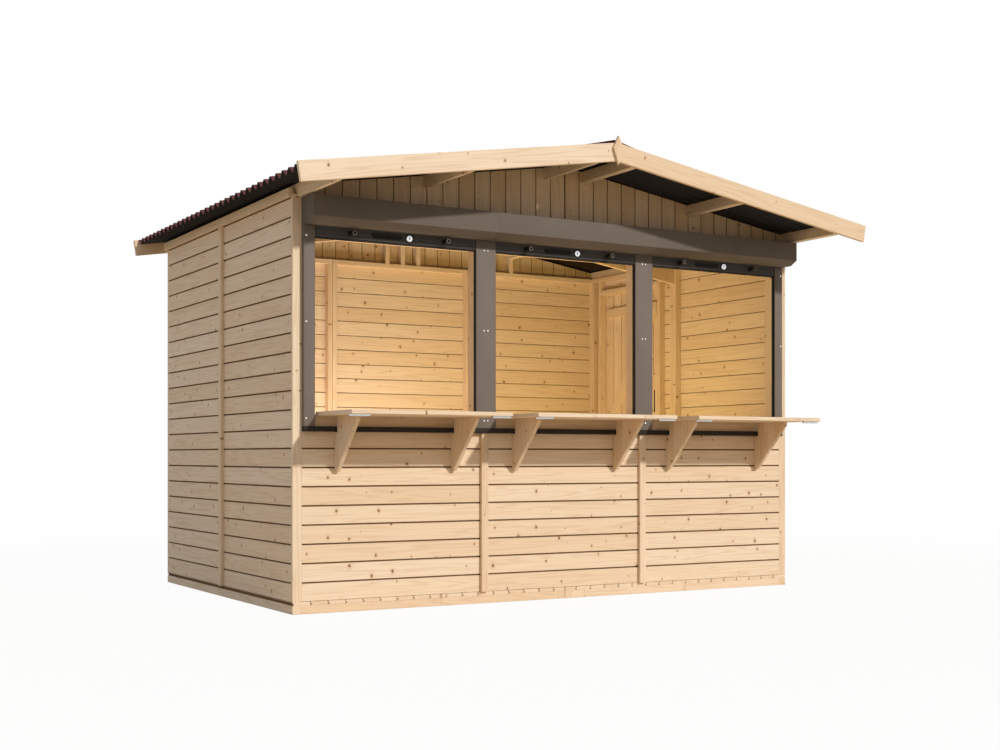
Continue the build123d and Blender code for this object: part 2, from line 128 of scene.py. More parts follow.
# %% One method for every other node
class Recipe:
    """The node tree of a material or of the world."""

    def __init__(self, holder):
        holder.use_nodes = True
        self.holder = holder
        self.tree = holder.node_tree

    def feed(self, socket, value):
        if isinstance(value, Tap):
            self.tree.links.new(value.socket, socket)
        else:
            socket.default_value = value

    def node(self, kind, settings=None, sockets=None, out=0):
        made = self.tree.nodes.new(kind)
        for name, value in (settings or {}).items():
            setattr(made, name, value)
        for name, value in (sockets or {}).items():
            self.feed(made.inputs[name], value)
        return Tap(self, made.outputs[out])

    def blend(self, factor, first, second):
        return self.node("ShaderNodeMix", {"data_type": "RGBA"}, {0: factor, 6: first, 7: second}, out=2)

    def stretch(self, vector, by):
        return self.node("ShaderNodeVectorMath", {"operation": "MULTIPLY"}, {0: vector, 1: by})

    def noise(self, vector, scale, detail=2.0, roughness=0.5):
        sockets = {"Vector": self.stretch(vector, scale), "Scale": 1.0, "Detail": detail, "Roughness": roughness}
        return self.node("ShaderNodeTexNoise", {}, sockets, out="Fac")

    def fade(self, value, full, none):
        """1 where value is at full, 0 where it is at none, and smooth between them."""
        sockets = {"Value": value, 1: full, 2: none, 3: 1.0, 4: 0.0}
        return self.node("ShaderNodeMapRange", {"interpolation_type": "SMOOTHSTEP"}, sockets)

    def bump(self, height, strength, distance):
        return self.node("ShaderNodeBump", {}, {"Height": height, "Strength": strength, "Distance": distance})

    def surface(self, sockets):
        shader = self.tree.nodes["Principled BSDF"]
        for name, value in sockets.items():
            self.feed(shader.inputs[name], value)
        print("finish:", self.holder.name, "with", len(self.tree.nodes), "nodes")
        return self.holder


print("a recipe can:", [name for name in vars(Recipe) if not name.startswith("__")])

# %% [markdown]
# ## Light, floor and background
# The photograph has a low sun from the front right and a white page behind the stall. A sun lamp with a wide
# angle gives the same shadows with soft edges, and an even pale sky fills them. The page is white only for what
# looks at it directly; the light on the stall stays at a level where a colour looks as it was mixed.

# %% Sun and sky
SUN_TRAVEL = Vector((-0.42, 1.0, -0.578))
SUN_STRENGTH = 2.4
SUN_COLOUR = (1.0, 0.96, 0.90)
SUN_ANGLE = math.radians(2.5)
SKY_COLOUR = (0.89, 0.98, 1.12, 1.0)
SKY_STRENGTH = 0.46
WHITE = (1.0, 1.0, 1.0, 1.0)


def hang(light, colour, energy, aim, place=(0, 0, 0)):
    """Put a light in the scene so that it shines along aim."""
    light.color = colour
    light.energy = energy
    lamp = bpy.data.objects.new(light.name, light)
    lamp.location = place
    lamp.rotation_mode = "QUATERNION"
    lamp.rotation_quaternion = aim.to_track_quat("-Z", "Y")
    scene.collection.objects.link(lamp)
    return lamp


sun = bpy.data.lights.new("sun", "SUN")
sun.angle = SUN_ANGLE
hang(sun, SUN_COLOUR, SUN_STRENGTH, SUN_TRAVEL)


def seen(recipe):
    """1 for rays that show the background: from the camera, off gloss or through glass."""
    path = recipe.node("ShaderNodeLightPath", out="Is Camera Ray")
    gloss = path.math("MAXIMUM", path, path.other("Is Glossy Ray"))
    return path.math("MAXIMUM", gloss, path.other("Is Transmission Ray"))


scene.world = bpy.data.worlds.new("page")
sky = Recipe(scene.world)
fill = sky.node("ShaderNodeBackground", {}, {"Color": SKY_COLOUR, "Strength": SKY_STRENGTH})
page = sky.node("ShaderNodeBackground", {}, {"Color": WHITE, "Strength": 1.0})
both = sky.node("ShaderNodeMixShader", {}, {0: seen(sky), 1: fill, 2: page})
sky.feed(sky.tree.nodes["World Output"].inputs["Surface"], both)
print("sun travels", tuple(round(v, 2) for v in SUN_TRAVEL.normalized()))

# %% [markdown]
# The floor is a wide plain disc. Part of what the camera sees of it is its own tone and part is the page, so it still
# takes the shadow of the stall. The share of the page grows with the distance from the stall, and far out the floor
# is the page, so no edge shows. The light that it throws up under the roof is warm and not too strong.

# %% Floor
FLOOR_RADIUS, FLOOR_SIDES, FLOOR_DROP = 60.0, 96, 0.001
FLOOR_COLOUR = (0.70, 0.54, 0.34, 1.0)
PAGE_SHARE = 0.96
PAGE_STARTS, PAGE_FULL = 3.0, 8.0

ground = bmesh.new()
bmesh.ops.create_circle(ground, cap_ends=True, radius=FLOOR_RADIUS, segments=FLOOR_SIDES)
floor_mesh = bpy.data.meshes.new("floor")
ground.to_mesh(floor_mesh)
ground.free()
floor = bpy.data.objects.new("floor", floor_mesh)
floor.location.z = -FLOOR_DROP
scene.collection.objects.link(floor)
pale = Recipe(bpy.data.materials.new("pale floor"))
pale.surface({"Base Color": FLOOR_COLOUR, "Roughness": 0.9, "Specular IOR Level": 0.0})
glow = pale.node("ShaderNodeEmission", {}, {"Color": WHITE, "Strength": 1.0})
own = Tap(pale, pale.tree.nodes["Principled BSDF"].outputs[0])
spot = pale.node("ShaderNodeNewGeometry", out="Position")
away = pale.node("ShaderNodeVectorMath", {"operation": "LENGTH"}, {0: spot}, out="Value")
share = 1.0 - pale.fade(away, PAGE_STARTS, PAGE_FULL) * (1.0 - PAGE_SHARE)
lit = pale.node("ShaderNodeMixShader", {}, {0: seen(pale) * share, 1: own, 2: glow})
pale.feed(pale.tree.nodes["Material Output"].inputs["Surface"], lit)
floor_mesh.materials.append(pale.holder)
print("floor radius", FLOOR_RADIUS, "m")

# %% [markdown]
# In the photograph the room behind the shutters glows: sun that comes in over the sill is thrown up by the floor
# boards and the ground, and it turns warmer at each bounce. Two wide soft lamps on the floor, hidden by the low front
# wall, stand for that light, and a third along the sill sends it level to the back and the right wall. Each row holds
# a lamp's place, sides, aim, colour and watts.

# %% Room lamps
FLOOR_AIM, SILL_AIM = Vector((-0.1, 0.55, 1.0)), Vector((0.25, 1.0, 0.30))
ROOM_LAMPS = (((-0.75, 0.05, 0.12), (1.2, 0.7), FLOOR_AIM, (1.0, 0.97, 0.88), 33.0),
              ((0.65, 0.05, 0.12), (1.4, 0.7), FLOOR_AIM, (1.0, 0.74, 0.16), 8.0),
              ((0.40, -0.80, 1.03), (0.9, 0.2), SILL_AIM, (1.0, 0.80, 0.22), 6.5))
for number, (place, (wide, deep), aim, colour, watts) in enumerate(ROOM_LAMPS):
    panel = bpy.data.lights.new("room" + str(number), "AREA")
    panel.shape = "RECTANGLE"
    panel.size, panel.size_y = wide, deep
    room_lamp = hang(panel, colour, watts, aim, place)
    room_lamp.visible_camera = False
    room_lamp.visible_glossy = False
print("room lamps:", len(ROOM_LAMPS))

# %% [markdown]
# ## Pine
# The boards are planed spruce or pine: pale, with darker late-wood lines that run along the board, small brown
# knots that the lines bend round, and a tone that differs from board to board. An image would repeat, so the wood
# is grown from noise. Each board brings its own place in the log as a stored vector, and its own tone as a number,
# so that no two boards share a pattern and the ends show the same wood as the faces.

# %% Pine finish
PALE_PINE = (0.85, 0.695, 0.520, 1.0)
WARM_PINE = (0.735, 0.530, 0.330, 1.0)
LATE_WOOD = (0.52, 0.305, 0.150, 1.0)
KNOT_HALO = (0.58, 0.33, 0.16, 1.0)
KNOT_BROWN = (0.20, 0.095, 0.045, 1.0)
KNOT_RED = (0.36, 0.145, 0.085, 1.0)
KNOTS_PER_METRE, LEAST_KNOT, KNOT_WOBBLE = 9.0, 0.0006, 0.005
KNOT_SPREAD, KNOTLESS = (1.0, 0.8, 1.0), 0.40
KNOT_EDGE, HALO_EDGE = (0.55, 1.25), (1.0, 3.4)
WOBBLE_SCALE = (130, 130, 130)
RING_SCALE, RING_COUNT = (0.8, 20, 20), 60
FIBRE_SCALE = (14, 620, 620)
STAIN_SCALE = (1.1, 7, 7)
GRAIN_RELIEF = 0.0008


def pine(name, knot_radius, late_strength, warmth_and_shade=0.0):
    """A pine finish with knots up to a radius in metres, late-wood lines of a strength, and a shift towards the warm,
    darker pine, which for the gables is painted shade.
    """
    wood = Recipe(bpy.data.materials.new(name))
    grain = wood.node("ShaderNodeAttribute", {"attribute_name": "grain"}, out="Vector")
    tone = wood.node("ShaderNodeAttribute", {"attribute_name": "tone"}, out="Fac")
    cells = wood.node("ShaderNodeTexVoronoi", {"voronoi_dimensions": "2D"},
                      {"Vector": wood.stretch(grain, KNOT_SPREAD), "Scale": KNOTS_PER_METRE}, out="Distance")
    draw = wood.node("ShaderNodeSeparateColor", {}, {"Color": cells.other("Color")}, out="Red")
    wobble = wood.noise(grain, WOBBLE_SCALE)
    away = cells / KNOTS_PER_METRE + wobble * KNOT_WOBBLE - KNOT_WOBBLE / 2
    size = cells.math("MAXIMUM", draw * (1.0 + KNOTLESS) - KNOTLESS, 0.0) * knot_radius + LEAST_KNOT
    knot = wood.fade(away / size, *KNOT_EDGE)
    halo = wood.fade(away / size, *HALO_EDGE)
    growth = wood.noise(grain, RING_SCALE, 2.0, 0.45)
    line = tone.math("SINE", growth * RING_COUNT + halo * 1.2) * 0.5 + 0.5
    late = line ** 3.0
    fibre = wood.noise(grain, FIBRE_SCALE, 1.0)
    stain = wood.noise(grain, STAIN_SCALE, 3.0)
    body = wood.blend(tone * 0.6 + stain * 0.5 + (warmth_and_shade - 0.3), PALE_PINE, WARM_PINE)
    body = wood.blend(late * late_strength, body, LATE_WOOD)
    body = wood.blend(fibre * 0.16, body, LATE_WOOD)
    body = wood.blend(halo * 0.25, body, KNOT_HALO)
    body = wood.blend(knot * 0.95, body, wood.blend(draw, KNOT_RED, KNOT_BROWN))
    rough = 0.5 + late * 0.08 + fibre * 0.14 - knot * 0.1
    relief = wood.bump(fibre * 0.6 - late * 0.5 + knot * 0.4, 0.2, GRAIN_RELIEF)
    return wood.surface({"Base Color": body, "Roughness": rough, "Normal": relief, "Specular IOR Level": 0.3})


cladding_pine = pine("pine cladding", 0.0068, 0.24)
# The gables get a warmer, darker copy of the pine: painted shade under the roof's overhang.
shaded_gable_pine = pine("gable pine with painted shade", 0.0068, 0.30, 0.45)
planed_pine = pine("planed pine", 0.006, 0.26, 0.12)
panel_pine = pine("glued pine panel", 0.007, 0.28, -0.15)

# %% [markdown]
# ## Working with boards
# A board is a cross-section run along its length, with a small chamfer at each end. One helper lays such a board in
# a bmesh and seasons it, which here means that its faces get their place in the log and their tone.

# %% Seasoning a board
LOG_LENGTH = 40


def with_layers(stack):
    """Give a bmesh the two layers that the pine finish reads."""
    stack.loops.layers.float_vector.new("grain")
    stack.faces.layers.float.new("tone")
    return stack


def new_stack():
    return with_layers(bmesh.new())


def season(stack, faces, to_board):
    """Give the faces of one board a tone and a place in the log; to_board turns along, across, through."""
    grain = stack.loops.layers.float_vector["grain"]
    tone = stack.faces.layers.float["tone"]
    start = Vector([dice.uniform(0, LOG_LENGTH) for _ in range(3)])
    shade = dice.random()
    for face in faces:
        face[tone] = shade
        for corner in face.loops:
            corner[grain] = to_board @ corner.vert.co + start


print("boards come from up to", LOG_LENGTH, "m of log")

# %% [markdown]
# To lay a board, its section is placed four times along its length: at both ends a little smaller, and just inside
# them in full. That chamfers the ends. An end can also be cut askew, when a function says how far each point runs.

# %% Laying a board
EASE = 0.0012


def skin(stack, rings):
    """The faces from each ring of points to the next; a ring of one point makes a tip."""
    faces = []
    for low, high in zip(rings, rings[1:]):
        count = max(len(low), len(high))
        for i in range(count):
            j = (i + 1) % count
            corners = (low[i % len(low)], low[j % len(low)], high[j % len(high)], high[i % len(high)])
            faces.append(stack.faces.new(list(dict.fromkeys(corners))))
    return faces


def drawn_in(value, middle, by):
    """A value moved by a step towards the middle, unless it lies there already."""
    if value < middle - by:
        return value + by
    if value > middle + by:
        return value - by
    return value


def lay(stack, place, profile, start, end, ease=EASE, dark=()):
    """Run a profile of (across, through) points from start to end; a cut may be a function of across.

    The sides of the profile that are listed in dark get the stack's second finish, the painted shade of the joints."""
    centre = [(min(p[i] for p in profile) + max(p[i] for p in profile)) / 2 for i in (0, 1)]
    rings = []
    for cut, step, inset in ((start, 0, ease), (start, ease, 0), (end, -ease, 0), (end, 0, ease)):
        ring = []
        for point in profile:
            across, through = (drawn_in(point[i], centre[i], inset) for i in (0, 1))
            along = (cut(across) if callable(cut) else cut) + step
            ring.append(stack.verts.new(place @ Vector((along, across, through))))
        rings.append(ring)
    faces = [stack.faces.new(rings[0][::-1]), stack.faces.new(rings[-1])] + skin(stack, rings)
    for i, face in enumerate(faces[2:]):
        face.material_index = int(i % len(profile) in dark)
    season(stack, faces, place.inverted())


print("board ends are eased by", EASE * 1000, "mm")

# %% [markdown]
# When a stack is done it becomes an object: its normals are turned outwards, it gets its finish and it rides on a
# body of the frame. Where it stands for solids of the frame, those are hidden.

# %% From a stack to a piece
def stand(stack, name, finishes, nodes=(), body="stall", smooth=None):
    """Make a piece of a stack, in place of some nodes, shaded smooth below an angle in degrees."""
    bmesh.ops.recalc_face_normals(stack, faces=stack.faces)
    mesh = bpy.data.meshes.new(name)
    stack.to_mesh(mesh)
    stack.free()
    if smooth is not None:
        mesh.shade_smooth()
        mesh.set_sharp_from_angle(angle=math.radians(smooth))
    for finish in finishes if isinstance(finishes, list) else [finishes]:
        mesh.materials.append(finish)
    piece = bpy.data.objects.new(name, mesh)
    scene.collection.objects.link(piece)
    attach(piece, body)
    if nodes:
        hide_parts(*nodes)
    print("piece:", name, len(mesh.polygons), "faces")


# %% [markdown]
# ## Timbers
# Most timbers of the frame already have the right shape and lack only eased edges and grain. A copy of the solid
# is cleaned of its triangles first, so that only real edges are left. One node can hold several timbers, so the faces
# that hang together are gathered, and the box of each such group says where that timber lies.

# %% Solids of the frame
WELD, FLAT = 1e-5, math.radians(1)


def cleaned(node):
    """A copy of a node's solids without the edges inside their flat faces."""
    solid = bmesh.new()
    solid.from_mesh(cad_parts[node].data)
    bmesh.ops.remove_doubles(solid, verts=solid.verts, dist=WELD)
    bmesh.ops.dissolve_limit(solid, angle_limit=FLAT, verts=solid.verts, edges=solid.edges)
    return solid


def islands(solid):
    """The faces of each separate solid."""
    left = set(solid.faces)
    groups = []
    for face in solid.faces:
        if face not in left:
            continue
        group, edge = [], [face]
        left.discard(face)
        while edge:
            here = edge.pop()
            group.append(here)
            for side in here.edges:
                for near in side.link_faces:
                    if near in left:
                        left.discard(near)
                        edge.append(near)
        groups.append(group)
    return groups


def boxes(node):
    """The lowest and highest corner of each separate solid of a node."""
    solid = cleaned(node)
    found = []
    for group in islands(solid):
        points = [vert.co for face in group for vert in face.verts]
        found.append((Vector(map(min, *points)), Vector(map(max, *points))))
    solid.free()
    return found


print("counter brackets:", len(boxes("counter_brackets")))

# %% [markdown]
# The sharp edges are then chamfered, and each timber is seasoned on its own, with the grain along its longest side.
# The wider side of the section is taken as across, because knots show there.

# %% Plain timbers
def extent(faces, axis):
    """How far some faces reach along an axis."""
    reach = [vert.co.dot(axis) for face in faces for vert in face.verts]
    return max(reach) - min(reach)


AXES = (Vector((1, 0, 0)), Vector((0, 1, 0)), Vector((0, 0, 1)))
SHARP = math.radians(25)


def board_axes(faces, along=None):
    """Rows that turn a point into along, across and through."""
    if along is None:
        along = max(AXES, key=lambda axis: extent(faces, axis))
    side = next(axis for axis in (AXES[1], AXES[2], AXES[0]) if abs(axis.dot(along)) < 0.5)
    other = along.cross(side).normalized()
    across, through = sorted((side, other), key=lambda axis: -extent(faces, axis))
    return Matrix((along, across, through)).to_4x4()


def chamfer(solid, ease, segments=1):
    """Bevel the edges of a solid that turn by more than SHARP."""
    sharp = [edge for edge in solid.edges if edge.is_manifold and edge.calc_face_angle() > SHARP]
    bmesh.ops.bevel(solid, geom=sharp, offset=ease, segments=segments, affect="EDGES", profile=0.5,
                    clamp_overlap=True)


def timbers(node, finish, along=None, body="stall", ease=EASE):
    """The timbers of a node with eased edges and grain, along a given way or their longest side."""
    solid = cleaned(node)
    chamfer(solid, ease)
    with_layers(solid)
    for group in islands(solid):
        season(solid, group, board_axes(group, along))
    stand(solid, node + "_timber", finish, [node], body)


PLAIN_TIMBERS = ("base_bearers", "base_rims", "wall_studs", "side_wall_rails", "end_wall_rails", "corner_boards",
                 "corner_posts", "eave_strips", "front_header", "front_posts", "front_sill_rail", "cover_strips",
                 "gable_rails", "gable_battens", "middle_collar", "purlins", "apex_plates", "door_stops")
UPRIGHT_GRAIN = ("gable_battens", "apex_plates")
for plain in PLAIN_TIMBERS:
    timbers(plain, planed_pine, AXES[2] if plain in UPRIGHT_GRAIN else None)

# %% [markdown]
# Rafters and barge boards lie along the roof's slope, and the door's braces lie across the leaf, so their grain
# is given its direction. Boards that are handled or hit get a wider ease.

# %% Sloping timbers
ROOF_SLOPE = math.radians(9.1)
SLOPE_COS, SLOPE_SIN = math.cos(ROOF_SLOPE), math.sin(ROOF_SLOPE)
SIDES = (("left", -1), ("right", 1))
WIDE_EASE, BRACE_CUT = 0.002, 0.08
for side, sign in SIDES:
    slope = Vector((sign * SLOPE_COS, 0, -SLOPE_SIN))
    timbers("middle_rafter_" + side, planed_pine, slope)
    timbers("barge_boards_" + side, planed_pine, slope, ease=WIDE_EASE)
timbers("door_ledges", planed_pine, body="door")
brace_low, brace_high = boxes("door_brace")[0]
brace_run = Vector((0, brace_low.y - brace_high.y + BRACE_CUT, brace_high.z - brace_low.z)).normalized()
timbers("door_brace", planed_pine, brace_run, body="door")

# %% [markdown]
# Deep in the joints between boards the wood gets a dark finish: painted shade, added to the shade of the gaps. That
# finish needs only two colours and a fine speckle, and the same recipe serves for metal and rubber further on.

# %% A speckled finish
CLOUD_SCALE = (5, 5, 5)
PEEL_DEPTH = 0.0005


def speckled(name, dark, pale, rough, metallic=0.0, gloss=0.1, fine=900.0, relief=0.12):
    """A finish with a fine speckle and slow clouds between two colours."""
    mix = Recipe(bpy.data.materials.new(name))
    spot = mix.node("ShaderNodeTexCoord", out="Object")
    grit = mix.noise(spot, (fine, fine, fine), 2.0, 0.6)
    cloud = mix.noise(spot, CLOUD_SCALE)
    colour = mix.blend(grit * 0.6 + cloud * 0.7 - 0.15, (*dark, 1.0), (*pale, 1.0))
    peel = mix.bump(grit, relief, PEEL_DEPTH)
    return mix.surface({"Base Color": colour, "Roughness": grit * 0.16 + cloud * 0.1 + (rough - 0.13),
                        "Normal": peel, "Metallic": metallic, "Specular IOR Level": gloss})


# A dark finish for the deep sides and tongues in the board joints: painted shade.
joint_shade = speckled("painted joint shade", (0.19, 0.110, 0.050), (0.27, 0.165, 0.078), 0.8)

# %% [markdown]
# ## Cladding
# The walls are matched boards: each has a tongue on its upper edge and a groove in its lower edge. On the outside the
# face stops short of the next board, so that a shadow gap shows between them with the tongue at its bottom. A grooved
# plane would look printed and couldn't show the open ends of the gaps beside the cover strips, so each board is laid
# by itself. On the inside the boards stand a few millimetres apart, and the joints show as thin dark lines. The sides
# deep in each joint and the tongue at the bottom of the gap get painted shade.

# %% Matched boards
COVER = 0.0893
JOINT = 0.0012
TONGUE = 0.006
TONGUE_BACK, TONGUE_FRONT, TONGUE_PLAY = 0.004, 0.009, 0.001
BOARD_EASE = 0.0014
BACK_GAP = 0.0018


def matched(low, high, thick, shadow_gap, tongue=True):
    """The section of a board from low to high with its outer face at thick, and its sides that lie deep in a joint,
    which take painted shade.
    """
    near, far = low + JOINT, high - JOINT
    back_end, face_end = (far - BACK_GAP, far - shadow_gap) if tongue else (far, far)
    section = [(near + BOARD_EASE, 0), (back_end - BOARD_EASE, 0), (back_end, BOARD_EASE)]
    if tongue:
        tip = far + TONGUE - TONGUE_PLAY
        section += [(back_end, TONGUE_BACK), (tip, TONGUE_BACK), (tip, TONGUE_FRONT), (face_end, TONGUE_FRONT)]
    root = near + TONGUE
    section += [(face_end, thick - BOARD_EASE), (face_end - BOARD_EASE, thick), (near + BOARD_EASE, thick),
                (near, thick - BOARD_EASE), (near, TONGUE_FRONT + JOINT), (root, TONGUE_FRONT + JOINT),
                (root, TONGUE_BACK - JOINT), (near, TONGUE_BACK - JOINT), (near, BOARD_EASE)]
    hidden = []
    for i, (here, there) in enumerate(zip(section, section[1:] + section[:1])):
        deep = min(here[1], there[1]) >= BOARD_EASE and max(here[1], there[1]) <= thick - BOARD_EASE
        if deep and not here[0] == there[0] == face_end:
            hidden.append(i)
    return section, hidden


print("a board shows", COVER * 1000, "mm")

# %% [markdown]
# A wall is divided into courses from its foot. What is left over is the last board, unless that would be a sliver. A
# board's place is a matrix: where it starts, and which way its length, width and thickness point.

# %% Courses and places
SLIVER = 0.1


def courses(height):
    """Where boards of one cover width start and end over a height, the last one cut."""
    count = math.ceil(height / COVER - SLIVER)
    edges = [min(i * COVER, height) for i in range(count)] + [height]
    return list(zip(edges, edges[1:]))


def facing(origin, along, across, through):
    """The place of a board as a matrix."""
    return Matrix.Translation(origin) @ Matrix((along, across, through)).transposed().to_4x4()


wall_low, wall_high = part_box("left_wall")
print("boards in a side wall:", len(courses(wall_high.z - wall_low.z)))

# %% [markdown]
# A wall panel of the frame is a plain slab. Its box says where the boards start, how long they are and how thick.
# Panels that start higher up, such as the one over the doorway, keep the courses of the wall's foot.

# %% Lay the walls
SHADOW_GAP = 0.0050
BOARD_END = 0.0006
LEAST_COURSE = 0.002


def clad(name, nodes, outward, upright=False, body="stall", base=None):
    """Lay boards over the slabs of some nodes, level or upright, with the good face outward."""
    stack = new_stack()
    through = max(range(3), key=lambda i: abs(outward[i]))
    level = 1 if through == 0 else 0
    for node in nodes:
        for low, high in boxes(node):
            origin = low.copy()
            origin[through] = low[through] if outward[through] > 0 else high[through]
            thick = high[through] - low[through]
            run, rise = (2, level) if upright else (level, 2)
            place = facing(origin, AXES[run], AXES[rise], outward)
            skip = 0.0 if base is None else low[rise] - base
            top = high[rise] - low[rise] + skip
            for start, end in courses(top):
                if end <= skip + LEAST_COURSE:
                    continue
                first = max(start - skip, 0.0)
                section, hidden = matched(first, end - skip, thick, SHADOW_GAP, end != top)
                lay(stack, place, section, 0.0, high[run] - low[run], BOARD_END, hidden)
    stand(stack, name, [cladding_pine, joint_shade], nodes, body)


clad("left_wall_boards", ["left_wall"], -AXES[0])
clad("right_wall_boards", ["right_wall_front", "right_wall_beside_door", "right_wall_over_door"], AXES[0],
     base=wall_low.z)
clad("back_wall_boards", ["back_wall"], AXES[1])
clad("front_wall_boards", ["front_wall"], -AXES[1])
clad("door_leaf_boards", ["door_boards"], AXES[0], upright=True, body="door")

# %% [markdown]
# The gables have upright boards that are cut to the roof's slope. They start from the middle, where the two halves
# of the gable meet in a wider joint. The purlins pass through them.

# %% Lay the gables
MIDDLE_JOINT = 0.0022
GABLE_GAP = 0.0024
gable_low, gable_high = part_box("gables")
gable_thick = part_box("front_wall")[1].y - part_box("front_wall")[0].y


def head(across):
    """How high a gable board reaches at a distance from the middle."""
    return gable_high.z - gable_low.z - min(across, gable_high.x) * math.tan(ROOF_SLOPE)


gables = new_stack()
for face, outward in ((gable_low.y + gable_thick, -AXES[1]), (gable_high.y - gable_thick, AXES[1])):
    for side in (-1, 1):
        place = facing(Vector((0, face, gable_low.z)), AXES[2], side * AXES[0], outward)
        for start, end in courses(gable_high.x):
            section, hidden = matched(max(start, MIDDLE_JOINT), end, gable_thick, GABLE_GAP, end < gable_high.x)
            lay(gables, place, section, 0.0, head, BOARD_END, hidden)
# The gable boards take the darker pine, painted shade under the roof.
stand(gables, "gable_boards", [shaded_gable_pine, joint_shade], ["gables"])

# %% [markdown]
# The floor boards run from front to back. Their ends lie open at the front, where the tongue of each board shows as
# a small crooked line, so they get the same section with tight faces. Each panel is laid from its outer side.

# %% Lay the floor
FLOOR_GAP, FLOOR_END = 0.0005, 0.0004
floor_stack = new_stack()
for low, high in boxes("floor_panels"):
    left = low.x + high.x < 0
    origin = Vector((low.x if left else high.x, low.y, low.z))
    place = facing(origin, AXES[1], AXES[0] if left else -AXES[0], AXES[2])
    width = high.x - low.x
    for start, end in courses(width):
        section, hidden = matched(start, end, high.z - low.z, FLOOR_GAP, end < width)
        lay(floor_stack, place, section, 0.0, high.y - low.y, FLOOR_END, hidden)
stand(floor_stack, "floor_boards", [cladding_pine, joint_shade], ["floor_panels"])

# %% [markdown]
# ## Counters and brackets
# Shelves and brackets are sawn from glued panels: narrow staves side by side, each with its own tone. The solids
# are sliced along the glue lines, and each stave is seasoned by itself. Slicing leaves the faces in no fixed order,
# so they are sorted by their place first, and the same staves get the same wood in every run.

# %% Glued panels
STAVE, PANEL_EASE, SLICE = 0.072, 0.0018, 1e-6
SORTING = Vector((1.0, 7.31, 53.7))


def glued(node, along, across):
    """The solids of a node as panels of staves that lie side by side across."""
    solid = cleaned(node)
    chamfer(solid, PANEL_EASE)
    low = min(vert.co.dot(across) for vert in solid.verts)
    span = extent(solid.faces, across)
    count = max(1, round(span / STAVE))
    width = span / count
    for i in range(1, count):
        geometry = solid.verts[:] + solid.edges[:] + solid.faces[:]
        bmesh.ops.bisect_plane(solid, geom=geometry, plane_co=across * (low + i * width), plane_no=across,
                               dist=SLICE)
    solid.faces.sort(key=lambda face: face.calc_center_median().dot(SORTING))
    with_layers(solid)
    turn = Matrix((along, across, along.cross(across))).to_4x4()
    for group in islands(solid):
        for i in range(count):
            reach = (low + i * width, low + (i + 1) * width)
            stave = [face for face in group if reach[0] <= face.calc_center_median().dot(across) < reach[1]]
            if stave:
                season(solid, stave, turn)
    stand(solid, node + "_panel", panel_pine, [node])


glued("counters", AXES[0], AXES[1])
glued("counter_brackets", AXES[2], AXES[1])

# %% [markdown]
# ## Coated metal
# The shutters are powder-coated aluminium in a warm dark grey. A powder coat is matt with a fine orange-peel
# relief and a faint speckle, so noise of about a millimetre drives colour, roughness and bump.

# %% Metal, plastic and zinc finishes
coated_grey = speckled("dark coated metal", (0.132, 0.109, 0.092), (0.186, 0.154, 0.130), 0.55, gloss=0.05)
# The guides get a lighter copy of the box coat, because they stand mostly in the sun: painted light.
lit_guide_grey = speckled("coated guide metal with painted light", (0.162, 0.134, 0.113), (0.210, 0.174, 0.148), 0.55)
# The bars get a much darker copy of the coat, because they lie in the shade of the boxes: painted shade.
shaded_bar_grey = speckled("bar metal with painted shade", (0.062, 0.058, 0.058), (0.088, 0.082, 0.082), 0.55)
black_grey = speckled("black coated metal", (0.022, 0.0185, 0.016), (0.037, 0.031, 0.027), 0.6)
black_rubber = speckled("black rubber", (0.008, 0.008, 0.008), (0.018, 0.017, 0.017), 0.6, gloss=0.15)
zinc_plate = speckled("zinc plate", (0.46, 0.46, 0.45), (0.74, 0.74, 0.72), 0.36, 1.0, 0.5, 260.0, 0.05)
bright_plate = speckled("bright plate", (0.90, 0.90, 0.90), (0.97, 0.97, 0.97), 0.28, 1.0, 0.5, 700.0, 0.03)

# %% [markdown]
# ## Shutter boxes, guides and sill
# A shutter box is folded from sheet, so its edges are small round bends. The solids of the frame keep their shape
# and get those bends.

# %% Folded sheet
ROUND = 40


def folded(node, finish, bend, body="stall", segments=3):
    """The solids of a node with rounded bends, shaded smooth below ROUND degrees."""
    solid = cleaned(node)
    chamfer(solid, bend, segments)
    stand(solid, node + "_sheet", finish, [node], body, smooth=ROUND)


folded("shutter_boxes", coated_grey, 0.0015)
folded("shutter_guides", lit_guide_grey, 0.0012, segments=2)
folded("sill_profile", black_grey, 0.002)

# %% [markdown]
# Each box is closed by a cap at both ends, a plate with the box's outline. The outline's corners are sorted by their
# angle. The caps of two neighbours meet, so only a hair line shows between the boxes.

# %% Box end caps
CAP_INSIDE, CAP_OUTSIDE, FINE_EASE = 0.0019, 0.0016, 0.0002
box_middle = sum(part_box("shutter_boxes"), Vector()) / 2
corners = {(round(v.co.y, 4), round(v.co.z, 4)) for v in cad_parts["shutter_boxes"].data.vertices}
outline = sorted(corners, key=lambda p: math.atan2(p[1] - box_middle.z, p[0] - box_middle.y))
caps = new_stack()
for low, high in boxes("shutter_boxes"):
    for edge, inner, outer in ((low.x, -CAP_INSIDE, CAP_OUTSIDE), (high.x, -CAP_OUTSIDE, CAP_INSIDE)):
        lay(caps, facing(Vector((edge, 0, 0)), *AXES), outline, inner, outer, FINE_EASE)
stand(caps, "shutter_box_end_caps", coated_grey)

# %% [markdown]
# The bottom bar is an extrusion with two level grooves, and it closes on a strip of rubber. Both are profiles run
# along, so the board helper lays them too.

# %% Bottom bars
GROOVE_LEVELS, GROOVE_DEPTH, GROOVE_MOUTH, GROOVE_FLOOR = (0.72, 0.40), 0.0018, 0.0016, 0.0010
BAR_FOOT, BAR_BACK, BAR_CORNER, BAR_END = 0.009, 0.003, 0.002, 0.0006
SEAL_TALL, SEAL_FOOT, SEAL_HEAD = 0.0095, (0.007, 0.006), (0.006, 0.004)
SEAL_INSET, SEAL_END = 0.002, 0.0005


